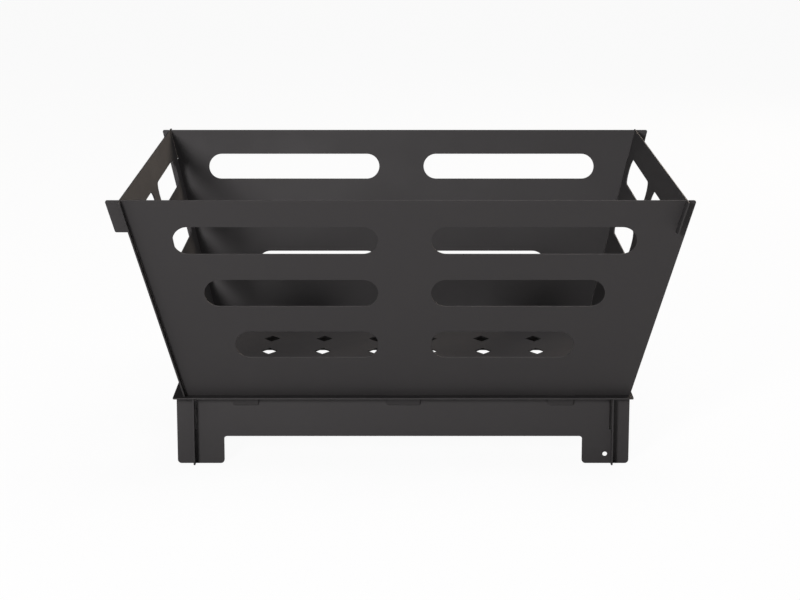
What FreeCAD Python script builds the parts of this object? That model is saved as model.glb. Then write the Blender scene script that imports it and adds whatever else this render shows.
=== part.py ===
import FreeCAD, Part
import math
import os
import Sketcher

# Fire basket that plugs together from flat steel sheets: four leaning vented panels form a tapered
# basket, a level plate with diamond holes carries it, and four rails with feet, halved into each other,
# carry the plate. Frame: +Z up, the origin on the floor under the middle, the front towards -Y.

# Driving sizes in millimetres, the lean in degrees.
SIZES = {
    "sheet_thickness": 1.5,
    "fit_clearance": 0.4,
    "lap_play": 1.6,
    "plate_width": 480.0,
    "plate_depth": 420.0,
    "plate_corner_radius": 2.0,
    "basket_inset": 11.5,
    "basket_height": 216.0,
    "lean_angle": 14.7,
    "corner_tab_reach": 14.0,
    "corner_tab_height": 35.0,
    "prong_reach": 8.5,
    "tab_corner_radius": 2.0,
    "bottom_tab_drop": 11.7,
    "middle_tab_width": 35.0,
    "outer_tab_width": 26.5,
    "outer_tab_inset": 63.5,
    "vent_height": 30.4,
    "vent_top_margin": 29.2,
    "vent_bottom_margin": 45.0,
    "vent_rows": 3,
    "front_vent_gap": 54.0,
    "front_vent_shift": 1.5,
    "front_vent_margin": 39.4,
    "front_vent_step": 14.8,
    "side_vent_gap": 41.0,
    "side_vent_shift": 2.0,
    "side_vent_margin": 33.2,
    "grate_hole_width": 19.0,
    "grate_hole_length": 29.0,
    "grate_pitch": 60.5,
    "grate_columns": 6,
    "grate_rows": 5,
    "rail_height": 73.5,
    "foot_width": 49.3,
    "foot_height": 29.5,
    "foot_corner_radius": 4.0,
    "foot_inner_radius": 3.0,
    "front_rail_gap": 0.4,
    "side_rail_gap": 4.0,
    "front_rail_overhang": 17.5,
    "side_rail_overhang": 11.5,
    "hang_hole_diameter": 5.0,
    "hang_hole_inset": 25.0,
    "hang_hole_height": 10.0,
}

# Sizes that follow from the driving ones.
# taper: how far a panel's edge moves out for each unit up its slope.
# sheet_across: a leaning sheet's thickness, measured level.
# tab_setback: how far a bottom tab's inner face, at its tip, lies inside the basket's bottom edge.
DERIVED = {
    "taper": "=sin(lean_angle * 1 deg)",
    "sheet_across": "=sheet_thickness / cos(lean_angle * 1 deg)",
    "slope_length": "=basket_height / cos(lean_angle * 1 deg)",
    "tab_setback": "=bottom_tab_drop * taper + sheet_across",
    "plate_top": "=rail_height + sheet_thickness",
    "basket_half_width": "=plate_width / 2 - basket_inset",
    "basket_half_depth": "=plate_depth / 2 - basket_inset",
    "front_rail_face": "=basket_half_depth - tab_setback - front_rail_gap",
    "side_rail_face": "=basket_half_width - tab_setback - side_rail_gap",
    "front_rail_half": "=side_rail_face + front_rail_overhang",
    "side_rail_half": "=front_rail_face + side_rail_overhang",
    "lap_level": "=rail_height / 2",
    "lap_half": "=sheet_thickness / 2 + fit_clearance",
    "corner_slot_depth": "=corner_tab_height + fit_clearance",
    "vent_radius": "=vent_height / 2",
    "vent_pitch": "=(slope_length - vent_top_margin - vent_bottom_margin - vent_height) / (vent_rows - 1)",
}

# Quarter turns about the upright axis from the front to each side of the basket, in degrees.
TURNS = {"front": 0, "right": 90, "back": 180, "left": 270}

CORNER_TOLERANCE = 0.001


def make_sheet(doc):
    """Write every size into a spreadsheet, each under its own alias."""
    sheet = doc.addObject("Spreadsheet::Sheet", "sizes")
    for row, (alias, content) in enumerate({**SIZES, **DERIVED}.items(), start=1):
        sheet.set(f"A{row}", alias)
        sheet.set(f"B{row}", str(content))
        sheet.setAlias(f"B{row}", alias)
    doc.recompute()
    return sheet


def new_sketch(body, name):
    """Start a sketch on the body's own level plane."""
    plane = next(item for item in body.Origin.OriginFeatures if item.Role == "XY_Plane")
    sketch = body.newObject("Sketcher::SketchObject", f"{body.Label}_{name}")
    sketch.AttachmentSupport = [(plane, "")]
    sketch.MapMode = "FlatFace"
    return sketch


def value(sketch, expression):
    """Give the number that an expression on the sheet's sizes stands for."""
    return float(sketch.evalExpression(expression))


def place(sketch, corner):
    """Turn a pair of expressions into a point of the sketch."""
    return FreeCAD.Vector(value(sketch, corner[0]), value(sketch, corner[1]), 0)


def pin(sketch, geometry, end, corner):
    """Hold one point of the sketch at a pair of expressions, measured from the origin."""
    for axis, expression in zip("XY", corner):
        limit = Sketcher.Constraint(f"Distance{axis}", -1, 1, geometry, end, value(sketch, expression))
        sketch.setExpression(f"Constraints[{sketch.addConstraint(limit)}]", expression)


def size_arc(sketch, geometry, kind, expression):
    """Bind an arc's radius or a circle's diameter to an expression."""
    limit = Sketcher.Constraint(kind, geometry, value(sketch, expression))
    sketch.setExpression(f"Constraints[{sketch.addConstraint(limit)}]", expression)


def polygon(sketch, corners):
    """Draw a closed straight-sided outline through corners given as pairs of expressions."""
    points = [place(sketch, corner) for corner in corners]
    first = sketch.GeometryCount
    count = len(points)
    for index in range(count):
        sketch.addGeometry(Part.LineSegment(points[index], points[(index + 1) % count]))
    for index, corner in enumerate(corners):
        following = first + (index + 1) % count
        sketch.addConstraint(Sketcher.Constraint("Coincident", first + index, 2, following, 1))
        pin(sketch, first + index, 1, corner)


def round_slot(sketch, left, right, height, radius):
    """Draw a level slot with full-radius ends from the expressions of its two ends and its middle."""
    centres = [(f"{left} + {radius}", height), (f"{right} - {radius}", height)]
    start, finish = (place(sketch, centre) for centre in centres)
    reach = value(sketch, radius)
    up = FreeCAD.Vector(0, reach, 0)
    axis = FreeCAD.Vector(0, 0, 1)
    quarter = math.pi / 2
    arc_left = sketch.addGeometry(Part.ArcOfCircle(Part.Circle(start, axis, reach), quarter, 3 * quarter))
    lower = sketch.addGeometry(Part.LineSegment(start - up, finish - up))
    arc_right = sketch.addGeometry(Part.ArcOfCircle(Part.Circle(finish, axis, reach), -quarter, quarter))
    upper = sketch.addGeometry(Part.LineSegment(finish + up, start + up))
    loop = [arc_left, lower, arc_right, upper]
    for index, geometry in enumerate(loop):
        sketch.addConstraint(Sketcher.Constraint("Tangent", geometry, 2, loop[(index + 1) % len(loop)], 1))
    for arc, centre in zip((arc_left, arc_right), centres):
        pin(sketch, arc, 3, centre)
        size_arc(sketch, arc, "Radius", radius)


def pad_sheet(body, sketch):
    """Give an outline the sheet's thickness, behind the sketch's plane."""
    pad = body.newObject("PartDesign::Pad", f"{body.Label}_sheet")
    pad.Profile = sketch
    pad.setExpression("Length", "sizes.sheet_thickness")
    pad.Reversed = True
    body.Document.recompute()
    return pad


def cut_through(body, sketch, name):
    """Cut a sketch right through the sheet and make sure that it took something away."""
    before = body.Shape.Volume
    pocket = body.newObject("PartDesign::Pocket", f"{body.Label}_{name}")
    pocket.Profile = sketch
    pocket.Type = "ThroughAll"
    body.Document.recompute()
    if not body.Shape.Volume < before:
        raise RuntimeError(f"{pocket.Name} cuts nothing")
    return pocket


def round_corners(body, sketch, corners, radius, name):
    """Round the sheet's edges that stand on the given corners of its outline."""
    base = body.Tip
    points = [place(sketch, corner) for corner in corners]

    def stands_on(edge, point):
        ends = [FreeCAD.Vector(vertex.X, vertex.Y, 0) for vertex in edge.Vertexes]
        return all(end.distanceToPoint(point) < CORNER_TOLERANCE for end in ends)

    edges = [f"Edge{index}" for index, edge in enumerate(base.Shape.Edges, start=1)
             if any(stands_on(edge, point) for point in points)]
    if len(edges) != len(points):
        raise RuntimeError(f"{body.Label}: {len(edges)} of {len(points)} corners found")
    fillet = body.newObject("PartDesign::Fillet", f"{body.Label}_{name}")
    fillet.Base = (base, edges)
    fillet.setExpression("Radius", radius)
    body.Document.recompute()


def stand_sheet(body, turn, reach, level, tilt):
    """Stand a sheet up with its outer face towards one side, leaning out by the tilt at its top."""
    turned = f"placement(vector(0; 0; 0); rotation(vector(0; 0; 1); {turn} deg))"
    stood = f"placement(vector(0; -({reach}); {level}); rotation(vector(1; 0; 0); ({tilt} + 90) * 1 deg))"
    body.setExpression("Placement", f"{turned} * {stood}")


def bottom_tabs(half):
    """List the bottom tabs of a panel, from left to right, as middle and width expressions."""
    outer = f"({half} - sizes.outer_tab_inset)"
    return [(f"-{outer}", "sizes.outer_tab_width"), ("0", "sizes.middle_tab_width"),
            (outer, "sizes.outer_tab_width")]


def make_panel(doc, label, half, across, vents):
    """Build one leaning panel. Seen from outside, its left end carries a corner tab that passes through
    the neighbour's slot, and its right end runs past the neighbour as a prong with an open-top slot.

    half is half the basket's bottom along the panel, across the reach of its face from the middle.
    """
    body = doc.addObject("PartDesign::Body", label)
    outline = new_sketch(body, "outline")

    def edge(side, offset, height):
        # A point beside the neighbour's outer face, which moves out with the height up the slope.
        return (f"{side}({half} + ({height}) * sizes.taper + {offset})", height)

    top = "sizes.slope_length"
    tab_foot = "sizes.slope_length - sizes.corner_tab_height"
    slot_foot = "sizes.slope_length - sizes.corner_slot_depth"
    inner = "(-sizes.sheet_across - sizes.fit_clearance)"
    corners = [edge("-", inner, "0")]
    tips = []
    for middle, width in bottom_tabs(half):
        left = f"{middle} - {width} / 2"
        right = f"{middle} + {width} / 2"
        tips += [(left, "-sizes.bottom_tab_drop"), (right, "-sizes.bottom_tab_drop")]
        corners += [(left, "0"), *tips[-2:], (right, "0")]
    tab_corners = [edge("-", "sizes.corner_tab_reach", top), edge("-", "sizes.corner_tab_reach", tab_foot)]
    prong_top = edge("", "sizes.prong_reach", top)
    corners += [edge("", "sizes.prong_reach", "0"), prong_top,
                edge("", "sizes.fit_clearance", top), edge("", "sizes.fit_clearance", slot_foot),
                edge("", inner, slot_foot), edge("", inner, top),
                *tab_corners, edge("-", inner, tab_foot)]
    polygon(outline, corners)
    pad_sheet(body, outline)
    round_corners(body, outline, tab_corners + [prong_top] + tips, "sizes.tab_corner_radius", "corners")
    cut_vents(body, half, **vents)
    stand_sheet(body, TURNS[label.split("_")[0]], across, "sizes.plate_top", "sizes.lean_angle")
    return body


def cut_vents(body, half, gap, shift, margin, step):
    """Cut the rows of paired air slots, each row's outer ends drawn in from the panel's leaning ends."""
    vents = new_sketch(body, "vents_outline")
    for row in range(int(SIZES["vent_rows"])):
        height = f"(sizes.slope_length - sizes.vent_top_margin - sizes.vent_radius - {row} * sizes.vent_pitch)"
        outer = f"({half} + {height} * sizes.taper - {margin} - {row} * {step})"
        round_slot(vents, f"{shift} - {outer}", f"{shift} - {gap} / 2", height, "sizes.vent_radius")
        round_slot(vents, f"{shift} + {gap} / 2", f"{shift} + {outer}", height, "sizes.vent_radius")
    cut_through(body, vents, "vents")


def make_base_plate(doc):
    """Build the level plate: slots for the panels' bottom tabs round a grate of diamond holes."""
    body = doc.addObject("PartDesign::Body", "base_plate")
    outline = new_sketch(body, "outline")
    corners = [(f"{x} sizes.plate_width / 2", f"{y} sizes.plate_depth / 2")
               for x, y in (("-", "-"), ("", "-"), ("", ""), ("-", ""))]
    polygon(outline, corners)
    pad_sheet(body, outline)
    round_corners(body, outline, corners, "sizes.plate_corner_radius", "corners")

    # A slot clears its tab at rest and while the basket is lifted straight up.
    slots = new_sketch(body, "tab_slots_outline")
    sides = (("sizes.basket_half_width", "sizes.basket_half_depth", False),
             ("sizes.basket_half_depth", "sizes.basket_half_width", True))
    for half, across, turned in sides:
        for middle, width in bottom_tabs(half):
            ends = [f"{middle} {sign} ({width} / 2 + sizes.fit_clearance)" for sign in "-+"]
            for side in ("-", ""):
                edges = [f"{side}({across} {offset})" for offset in
                         ("- sizes.tab_setback - sizes.fit_clearance", "+ sizes.fit_clearance")]
                loop = [(ends[0], edges[0]), (ends[1], edges[0]), (ends[1], edges[1]), (ends[0], edges[1])]
                polygon(slots, [(y, x) for x, y in loop] if turned else loop)
    cut_through(body, slots, "tab_slots")

    grate = new_sketch(body, "grate_outline")
    column = "-(sizes.grate_columns - 1) * sizes.grate_pitch / 2"
    for row in range(int(SIZES["grate_rows"])):
        middle = f"({row} - (sizes.grate_rows - 1) / 2) * sizes.grate_pitch"
        polygon(grate, [(f"{column} - sizes.grate_hole_width / 2", middle),
                        (column, f"{middle} - sizes.grate_hole_length / 2"),
                        (f"{column} + sizes.grate_hole_width / 2", middle),
                        (column, f"{middle} + sizes.grate_hole_length / 2")])
    holes = cut_through(body, grate, "grate_column")
    columns = body.newObject("PartDesign::LinearPattern", "base_plate_grate")
    columns.Originals = [holes]
    columns.Direction = (grate, ["H_Axis"])
    columns.setExpression("Length", "(sizes.grate_columns - 1) * sizes.grate_pitch")
    columns.setExpression("Occurrences", "sizes.grate_columns")
    body.Tip = columns
    body.setExpression("Placement.Base.z", "sizes.plate_top")
    doc.recompute()
    return body


def make_rail(doc, label, half, face, lap_face, slots_at_top, hang_hole):
    """Build one rail: a beam on two feet, halved where it crosses the rails of the other pair.

    half is half its length, face the reach of its outer face, lap_face that of the rails it crosses.
    """
    body = doc.addObject("PartDesign::Body", label)
    outline = new_sketch(body, "outline")
    instep = f"({half} - sizes.foot_width)"
    lap_middle = f"({lap_face} - sizes.sheet_thickness / 2)"
    lap_mouth = "sizes.rail_height" if slots_at_top else "0"

    def lap(side):
        # The slot's four corners, listed from its lower to its higher end along the rail, with play inwards.
        outer = f"{side}({lap_middle} + sizes.lap_half)"
        inner = f"{side}({lap_middle} - sizes.lap_half - sizes.lap_play)"
        ends = [outer, inner] if side else [inner, outer]
        return [(ends[0], lap_mouth), (ends[0], "sizes.lap_level"),
                (ends[1], "sizes.lap_level"), (ends[1], lap_mouth)]

    soles = [(f"-{half}", "0"), (f"-{instep}", "0"), (instep, "0"), (half, "0")]
    arches = [(f"-{instep}", "sizes.foot_height"), (instep, "sizes.foot_height")]
    under = {side: [] if slots_at_top else lap(side) for side in ("-", "")}
    over = [*reversed(lap("")), *reversed(lap("-"))] if slots_at_top else []
    polygon(outline, [soles[0], *under["-"], soles[1], *arches, soles[2], *under[""], soles[3],
                      (half, "sizes.rail_height"), *over, (f"-{half}", "sizes.rail_height")])
    pad_sheet(body, outline)
    round_corners(body, outline, soles, "sizes.foot_corner_radius", "soles")
    round_corners(body, outline, arches, "sizes.foot_inner_radius", "arches")
    if hang_hole:
        hole = new_sketch(body, "hang_hole_outline")
        centre = (f"{half} - sizes.hang_hole_inset", "sizes.hang_hole_height")
        radius = value(hole, "sizes.hang_hole_diameter / 2")
        circle = hole.addGeometry(Part.Circle(place(hole, centre), FreeCAD.Vector(0, 0, 1), radius))
        pin(hole, circle, 3, centre)
        size_arc(hole, circle, "Diameter", "sizes.hang_hole_diameter")
        cut_through(body, hole, "hang_hole")
    stand_sheet(body, TURNS[label.split("_")[0]], face, "0", "0")
    return body


def check(doc, bodies):
    """Stop unless every object is sound and every piece is one valid solid."""
    doc.recompute()
    for item in doc.Objects:
        if {"Invalid", "Error"} & set(item.State):
            raise RuntimeError(f"{item.Name}: {item.State}")
    for body in bodies:
        if body.Shape.isNull() or not body.Shape.isValid() or len(body.Shape.Solids) != 1:
            raise RuntimeError(f"{body.Label} isn't one valid solid")


def main():
    doc = FreeCAD.newDocument("fire_basket")
    make_sheet(doc)
    front_vents = {"gap": "sizes.front_vent_gap", "shift": "sizes.front_vent_shift",
                   "margin": "sizes.front_vent_margin", "step": "sizes.front_vent_step"}
    side_vents = {"gap": "sizes.side_vent_gap", "shift": "sizes.side_vent_shift",
                  "margin": "sizes.side_vent_margin", "step": "0"}
    wide, deep = "sizes.basket_half_width", "sizes.basket_half_depth"
    bodies = [make_base_plate(doc)]
    for side in ("front", "back"):
        bodies.append(make_panel(doc, f"{side}_panel", wide, deep, front_vents))
        bodies.append(make_rail(doc, f"{side}_rail", "sizes.front_rail_half", "sizes.front_rail_face",
                                "sizes.side_rail_face", slots_at_top=True, hang_hole=True))
    for side in ("left", "right"):
        bodies.append(make_panel(doc, f"{side}_panel", deep, wide, side_vents))
        bodies.append(make_rail(doc, f"{side}_rail", "sizes.side_rail_half", "sizes.side_rail_face",
                                "sizes.front_rail_face", slots_at_top=False, hang_hole=False))
    check(doc, bodies)
    os.makedirs("parts", exist_ok=True)
    for body in bodies:
        body.Shape.exportStep(f"parts/{body.Label}.step")


main()
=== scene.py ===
"""Fire basket: the finish of its plug-together steel sheets, and a plain studio to see it in."""
import math

import bpy
import numpy as np
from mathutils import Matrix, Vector

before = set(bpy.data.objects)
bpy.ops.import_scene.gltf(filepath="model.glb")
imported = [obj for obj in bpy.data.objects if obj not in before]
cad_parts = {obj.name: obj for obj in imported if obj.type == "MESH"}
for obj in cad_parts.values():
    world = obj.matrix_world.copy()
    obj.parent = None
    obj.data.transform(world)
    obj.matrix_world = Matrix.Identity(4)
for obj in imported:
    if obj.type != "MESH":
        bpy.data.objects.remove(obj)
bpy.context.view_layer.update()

bl_info = {
    "name": "Fire Basket Finish",
    "version": (1, 0, 0),
    "blender": (4, 5, 0),
    "location": "View3D > Sidebar > Fire Basket",
    "description": "Coats the sheets of a plug-together fire basket and sets a plain studio round it",
    "category": "Material",
}

PANELS = ("front_panel", "back_panel", "left_panel", "right_panel")
GRATE = ("base_plate",)
RAILS = ("front_rail", "back_rail", "left_rail", "right_rail")

PHOTO_WIDTH = 800
SENSOR_WIDTH = 36.0
WHITE = (1, 1, 1, 1)

# The Mix node's sockets for colours, by number, because its sockets for other kinds have the same names.
MIX_FIRST = 6
MIX_SECOND = 7
MIX_RESULT = 2

# Levels of a noise that runs from 0 to 1: its middle, and where a grain begins to show and shows in full.
NOISE_MIDDLE = 0.5
GRAIN_BEGINS = 0.58
GRAIN_FULL = 0.78

# How far the rounded normal turns from the flat one, as 1 minus their cosine, where the edge is lightest:
# there the coat is thin, and the lighter colour is partly a painted edge highlight.
EDGE_TURN = 0.3

# Rays that round the normal near an edge.
EDGE_SAMPLES = 6

# Strength of the coat's relief, and the ripples' share of it; the rest comes from the grains.
RELIEF_STRENGTH = 0.5
PEEL_RELIEF = 0.7

# Where each lamp hangs, the point it is turned to, and its width and height, in metres.
TOP_LAMP = {"place": (0.4, 0.2, 2.6), "aim": (0, 0, 0), "size": (1.6, 1.6)}
STRIP_LAMP = {"place": (-1.1, -3.0, 1.15), "aim": (0, 0, 0.2), "size": (0.5, 0.7)}
WARM_LAMP = {"place": (1.4, 2.3, 1.2), "aim": (-0.25, 0, 0.25), "size": (1.0, 1.0)}


class Tone:
    """A shader socket that takes part in arithmetic: each operator adds a Math node behind it."""

    def __init__(self, graph, socket):
        self.graph = graph
        self.socket = socket

    def math_node(self, operation, first, second):
        return self.graph.node("ShaderNodeMath", {"operation": operation}, {0: first, 1: second})

    def __add__(self, other):
        return self.math_node("ADD", self, other)

    def __sub__(self, other):
        return self.math_node("SUBTRACT", self, other)

    def __rsub__(self, other):
        return self.math_node("SUBTRACT", other, self)

    def __mul__(self, other):
        return self.math_node("MULTIPLY", self, other)

    __radd__ = __add__
    __rmul__ = __mul__


class Graph:
    """One node tree, drawn node by node."""

    def __init__(self, owner):
        owner.use_nodes = True
        self.tree = owner.node_tree
        self.tree.nodes.clear()

    def node(self, kind, settings=None, inputs=None, output=0):
        """Add a node, set its settings first, then set or link its sockets, and give one of its outputs."""
        node = self.tree.nodes.new(kind)
        for name, setting in (settings or {}).items():
            setattr(node, name, setting)
        for key, given in (inputs or {}).items():
            if isinstance(given, Tone):
                self.tree.links.new(given.socket, node.inputs[key])
            else:
                node.inputs[key].default_value = given
        return Tone(self, node.outputs[output]) if node.outputs else None

    def noise(self, place, size, detail):
        """Noise from 0 to 1: blotches about one size across, in metres, with finer layers by detail."""
        sockets = {"Vector": place, "Scale": 1 / size, "Detail": detail}
        return self.node("ShaderNodeTexNoise", None, sockets, "Fac")

    def ease(self, amount, low, high):
        """Rise smoothly from 0 at low to 1 at high."""
        return self.node("ShaderNodeMapRange", {"interpolation_type": "SMOOTHSTEP"},
                         {"Value": amount, "From Min": low, "From Max": high})

    def blend(self, amount, first, second):
        """Mix two colours by an amount from 0 to 1."""
        return self.node("ShaderNodeMix", {"data_type": "RGBA"},
                         {0: amount, MIX_FIRST: first, MIX_SECOND: second}, MIX_RESULT)


class CoatSettings(bpy.types.PropertyGroup):
    """Sizes and tones of the black powder coat."""

    color: bpy.props.FloatVectorProperty(
        name="Coat", description="Colour of the powder coat", subtype="COLOR", size=3,
        min=0, max=1, default=(0.0115, 0.0110, 0.0111))
    fleck: bpy.props.FloatVectorProperty(
        name="Fleck", description="Colour of the lighter grains in the coat", subtype="COLOR", size=3,
        min=0, max=1, default=(0.025, 0.0239, 0.0237))
    # Lighter colour along every cut edge: partly a thin coat, partly a painted edge highlight.
    edge: bpy.props.FloatVectorProperty(
        name="Cut edge", description="Colour where the coat lies thin over a cut edge", subtype="COLOR",
        size=3, min=0, max=1, default=(0.036, 0.0345, 0.034))
    roughness: bpy.props.FloatProperty(
        name="Roughness", description="How matt the coat is", subtype="FACTOR", min=0, max=1, default=0.64)
    grain_share: bpy.props.FloatProperty(
        name="Grains", description="How far the grains lighten the coat", subtype="FACTOR", min=0, max=1,
        default=0.5)
    mottle_share: bpy.props.FloatProperty(
        name="Clouds", description="How far the clouds lighten the coat", subtype="FACTOR", min=0, max=1,
        default=0.35)
    thin_edge_and_highlight_share: bpy.props.FloatProperty(
        name="Edges", description="How far a cut edge takes on its own colour", subtype="FACTOR",
        min=0, max=1, default=0.6)
    grain_sheen: bpy.props.FloatProperty(
        name="Grain sheen", description="How much the grains change the roughness", min=0, default=0.10)
    mottle_sheen: bpy.props.FloatProperty(
        name="Cloud sheen", description="How much the clouds change the roughness", min=0, default=0.16)
    edge_sheen: bpy.props.FloatProperty(
        name="Edge sheen", description="How much smoother a cut edge is", min=0, default=0.06)
    peel_size: bpy.props.FloatProperty(
        name="Peel", description="Width of the coat's orange-peel ripples", unit="LENGTH", default=0.0016)
    peel_depth: bpy.props.FloatProperty(
        name="Peel depth", description="Height of the orange-peel ripples", unit="LENGTH", precision=6,
        default=0.00004)
    grain_size: bpy.props.FloatProperty(
        name="Grain", description="Width of the powder grains", unit="LENGTH", precision=5, default=0.0005)
    mottle_size: bpy.props.FloatProperty(
        name="Mottle", description="Width of the faint clouds in the sheen", unit="LENGTH", default=0.07)
    edge_width: bpy.props.FloatProperty(
        name="Edge round", description="How far the coat draws back from a cut edge", unit="LENGTH",
        precision=5, default=0.0004)


class StudioSettings(bpy.types.PropertyGroup):
    """The plain studio: floor, lamps and the camera at the photograph's angle."""

    floor_reach: bpy.props.FloatProperty(
        name="Floor reach", description="Half the floor's side", unit="LENGTH", default=6.5)
    floor_color: bpy.props.FloatVectorProperty(
        name="Floor", description="Colour of the floor", subtype="COLOR", size=3, min=0, max=1,
        default=(0.85, 0.85, 0.85))
    floor_glow: bpy.props.FloatProperty(
        name="Floor white", description="Share of plain white that the camera sees in the floor",
        subtype="FACTOR", min=0, max=1, default=0.95)
    backdrop_sheen: bpy.props.FloatProperty(
        name="Backdrop in gloss", subtype="FACTOR", min=0, max=1, default=0.04,
        description="Share of plain white that gloss shows in the floor and backdrop")
    ambient: bpy.props.FloatProperty(
        name="Ambient", description="Level of the light from all round", min=0, default=0.008)
    lamp_color: bpy.props.FloatVectorProperty(
        name="Lamp", description="Colour of the top and strip lamps", subtype="COLOR", size=3, min=0, max=1,
        default=(1.0, 0.955, 0.97))
    warm_color: bpy.props.FloatVectorProperty(
        name="Warm lamp", description="Colour of the lamp behind the basket", subtype="COLOR", size=3,
        min=0, max=1, default=(1.0, 0.84, 0.7))
    top_power: bpy.props.FloatProperty(
        name="Top power", description="Power of the lamp above the basket", unit="POWER", default=48)
    strip_power: bpy.props.FloatProperty(
        name="Strip power", description="Power of the upright strip lamp at the front left", unit="POWER",
        default=91)
    warm_power: bpy.props.FloatProperty(
        name="Warm power", description="Power of the lamp behind the basket", unit="POWER", default=18)
    camera_place: bpy.props.FloatVectorProperty(
        name="Camera", description="Where the camera stands", subtype="TRANSLATION", unit="LENGTH", size=3,
        default=(-0.0033, -2.4762, 0.6724))
    camera_pitch: bpy.props.FloatProperty(
        name="Pitch", description="How far the camera looks down", subtype="ANGLE",
        default=math.radians(12.27))
    camera_focus: bpy.props.FloatProperty(
        name="Focal length", description="Focal length in pixels of the photograph", default=2250.0)


def powder_coat(name, coat):
    """Satin black powder coat: fine orange peel, lighter grains, faint clouds in the sheen, thin edges with
    a painted highlight.
    """
    material = bpy.data.materials.new(name)
    graph = Graph(material)
    place = graph.node("ShaderNodeTexCoord", output="Object")
    peel = graph.noise(place, coat.peel_size, detail=2.0)
    grain = graph.noise(place, coat.grain_size, detail=1.0)
    mottle = graph.noise(place, coat.mottle_size, detail=3.0)

    # The coat draws back where the rounded normal turns away from the flat one, along every cut edge;
    # there it is lighter, partly a thin coat and partly a painted edge highlight.
    rounded = graph.node("ShaderNodeBevel", {"samples": EDGE_SAMPLES}, {"Radius": coat.edge_width})
    flat = graph.node("ShaderNodeNewGeometry", output="Normal")
    turned = graph.node("ShaderNodeVectorMath", {"operation": "DOT_PRODUCT"}, {0: rounded, 1: flat}, "Value")
    edge = graph.ease(1 - turned, 0.0, EDGE_TURN)

    fleck = graph.ease(grain, GRAIN_BEGINS, GRAIN_FULL) * coat.grain_share + mottle * coat.mottle_share
    color = graph.blend(fleck, (*coat.color, 1), (*coat.fleck, 1))
    # Lighter cut edges: partly a thin coat, partly a painted edge highlight.
    color = graph.blend(edge * coat.thin_edge_and_highlight_share, color, (*coat.edge, 1))

    sheen = (grain - NOISE_MIDDLE) * coat.grain_sheen + (mottle - NOISE_MIDDLE) * coat.mottle_sheen
    rough = sheen + coat.roughness - edge * coat.edge_sheen

    height = peel * PEEL_RELIEF + grain * (1 - PEEL_RELIEF)
    relief = graph.node("ShaderNodeBump", None, {"Strength": RELIEF_STRENGTH, "Distance": coat.peel_depth,
                                                 "Height": height, "Normal": rounded})
    surface = graph.node("ShaderNodeBsdfPrincipled", None, {"Base Color": color, "Roughness": rough,
                                                            "Normal": relief})
    graph.node("ShaderNodeOutputMaterial", None, {"Surface": surface})
    return material


def dress(nodes, material):
    """Give the frame's nodes a material, in the slots that they already have."""
    for node in nodes:
        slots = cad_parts[node].material_slots
        if not slots:
            raise RuntimeError(f"{node} has no material slot to coat")
        for slot in slots:
            slot.material = material


def soft_lamp(name, place, aim, size, power, color):
    """Hang a soft lamp, wide and high as its size says, and turn it to an aim, in metres and watts."""
    data = bpy.data.lights.new(name, "AREA")
    data.shape = "RECTANGLE"
    data.size, data.size_y = size
    data.energy = power
    data.color = color
    lamp = bpy.data.objects.new(name, data)
    lamp.location = place
    lamp.rotation_euler = (Vector(aim) - Vector(place)).to_track_quat("-Z", "Y").to_euler()
    bpy.context.collection.objects.link(lamp)


def backdrop_share(graph, studio):
    """Share of plain white that a ray finds in the backdrop: all of it, or in gloss the sheen's part."""
    camera, gloss, glass = (graph.node("ShaderNodeLightPath", output=f"Is {kind} Ray")
                            for kind in ("Camera", "Glossy", "Transmission"))
    return camera + glass + gloss * studio.backdrop_sheen


class FIREBASKET_OT_coat_panels(bpy.types.Operator):
    """Coat the four leaning panels"""

    bl_idname = "fire_basket.coat_panels"
    bl_label = "Coat Panels"

    def execute(self, context):
        dress(PANELS, powder_coat("panel_coat", context.scene.fire_basket_coat))
        return {"FINISHED"}


class FIREBASKET_OT_coat_grate(bpy.types.Operator):
    """Coat the grate plate under the basket"""

    bl_idname = "fire_basket.coat_grate"
    bl_label = "Coat Grate"

    def execute(self, context):
        dress(GRATE, powder_coat("grate_coat", context.scene.fire_basket_coat))
        return {"FINISHED"}


class FIREBASKET_OT_coat_rails(bpy.types.Operator):
    """Coat the four rails with their feet"""

    bl_idname = "fire_basket.coat_rails"
    bl_label = "Coat Rails"

    def execute(self, context):
        dress(RAILS, powder_coat("rail_coat", context.scene.fire_basket_coat))
        return {"FINISHED"}


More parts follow.
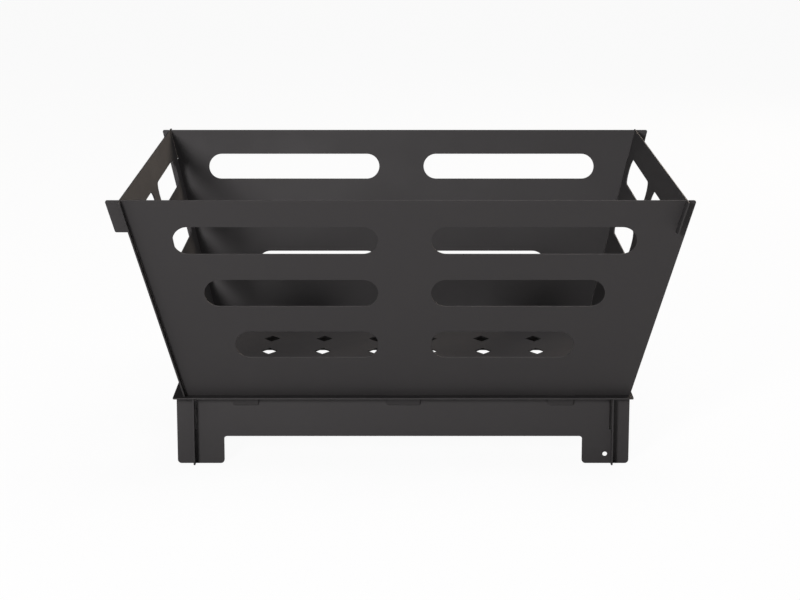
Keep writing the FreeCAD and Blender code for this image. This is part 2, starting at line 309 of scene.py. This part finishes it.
class FIREBASKET_OT_set_studio(bpy.types.Operator):
    """Lay the floor, hang the lamps and set the camera"""

    bl_idname = "fire_basket.set_studio"
    bl_label = "Set Studio"

    def execute(self, context):
        studio = context.scene.fire_basket_studio
        context.scene.view_settings.view_transform = "Standard"
        self.lay_floor(studio)
        self.light_world(context.scene, studio)
        soft_lamp("top_lamp", **TOP_LAMP, power=studio.top_power, color=studio.lamp_color)
        soft_lamp("strip_lamp", **STRIP_LAMP, power=studio.strip_power, color=studio.lamp_color)
        soft_lamp("warm_lamp", **WARM_LAMP, power=studio.warm_power, color=studio.warm_color)
        self.set_camera(context.scene, studio)
        return {"FINISHED"}

    def lay_floor(self, studio):
        """A level square: the corners are plus and minus the reach along X and Y, at height zero."""
        corners = np.array([(-1, -1, 0), (1, -1, 0), (1, 1, 0), (-1, 1, 0)]) * studio.floor_reach
        mesh = bpy.data.meshes.new("floor")
        mesh.from_pydata(corners.tolist(), [], [(0, 1, 2, 3)])
        floor = bpy.data.objects.new("floor", mesh)
        bpy.context.collection.objects.link(floor)
        material = bpy.data.materials.new("floor_paper")
        graph = Graph(material)
        paper = graph.node("ShaderNodeBsdfDiffuse", None, {"Color": (*studio.floor_color, 1)})
        white = graph.node("ShaderNodeEmission", None, {"Color": WHITE})
        share = backdrop_share(graph, studio) * studio.floor_glow
        mixed = graph.node("ShaderNodeMixShader", None, {0: share, 1: paper, 2: white})
        graph.node("ShaderNodeOutputMaterial", None, {"Surface": mixed})
        mesh.materials.append(material)

    def light_world(self, scene, studio):
        """White where the camera sees the backdrop, faint in gloss and dim as a light of its own."""
        world = bpy.data.worlds.new("studio")
        graph = Graph(world)
        level = backdrop_share(graph, studio) * (1 - studio.ambient) + studio.ambient
        backdrop = graph.node("ShaderNodeBackground", None, {"Color": WHITE, "Strength": level})
        graph.node("ShaderNodeOutputWorld", None, {"Surface": backdrop})
        scene.world = world

    def set_camera(self, scene, studio):
        """The photograph's angle, with the focal length in pixels turned into millimetres."""
        data = bpy.data.cameras.new("camera")
        data.sensor_width = SENSOR_WIDTH
        data.lens = studio.camera_focus * SENSOR_WIDTH / PHOTO_WIDTH
        camera = bpy.data.objects.new("camera", data)
        camera.location = studio.camera_place
        camera.rotation_euler = (math.radians(90) - studio.camera_pitch, 0, 0)
        bpy.context.collection.objects.link(camera)
        scene.camera = camera


class FIREBASKET_PT_finish(bpy.types.Panel):
    """Lists the finish, the studio and the steps that make them"""

    bl_idname = "FIREBASKET_PT_finish"
    bl_label = "Fire Basket"
    bl_space_type = "VIEW_3D"
    bl_region_type = "UI"
    bl_category = "Fire Basket"

    def draw(self, context):
        for settings in (context.scene.fire_basket_coat, context.scene.fire_basket_studio):
            box = self.layout.box()
            for name in settings.__annotations__:
                box.prop(settings, name)
        for operator in OPERATORS:
            self.layout.operator(operator.bl_idname)


OPERATORS = (FIREBASKET_OT_coat_panels, FIREBASKET_OT_coat_grate, FIREBASKET_OT_coat_rails,
             FIREBASKET_OT_set_studio)
CLASSES = (CoatSettings, StudioSettings, *OPERATORS, FIREBASKET_PT_finish)


def register():
    for kind in CLASSES:
        bpy.utils.register_class(kind)
    bpy.types.Scene.fire_basket_coat = bpy.props.PointerProperty(type=CoatSettings)
    bpy.types.Scene.fire_basket_studio = bpy.props.PointerProperty(type=StudioSettings)


def unregister():
    del bpy.types.Scene.fire_basket_studio
    del bpy.types.Scene.fire_basket_coat
    for kind in reversed(CLASSES):
        bpy.utils.unregister_class(kind)


def main():
    register()
    bpy.ops.fire_basket.coat_panels()
    bpy.ops.fire_basket.coat_grate()
    bpy.ops.fire_basket.coat_rails()
    bpy.ops.fire_basket.set_studio()


if __name__ == "__main__":
    main()
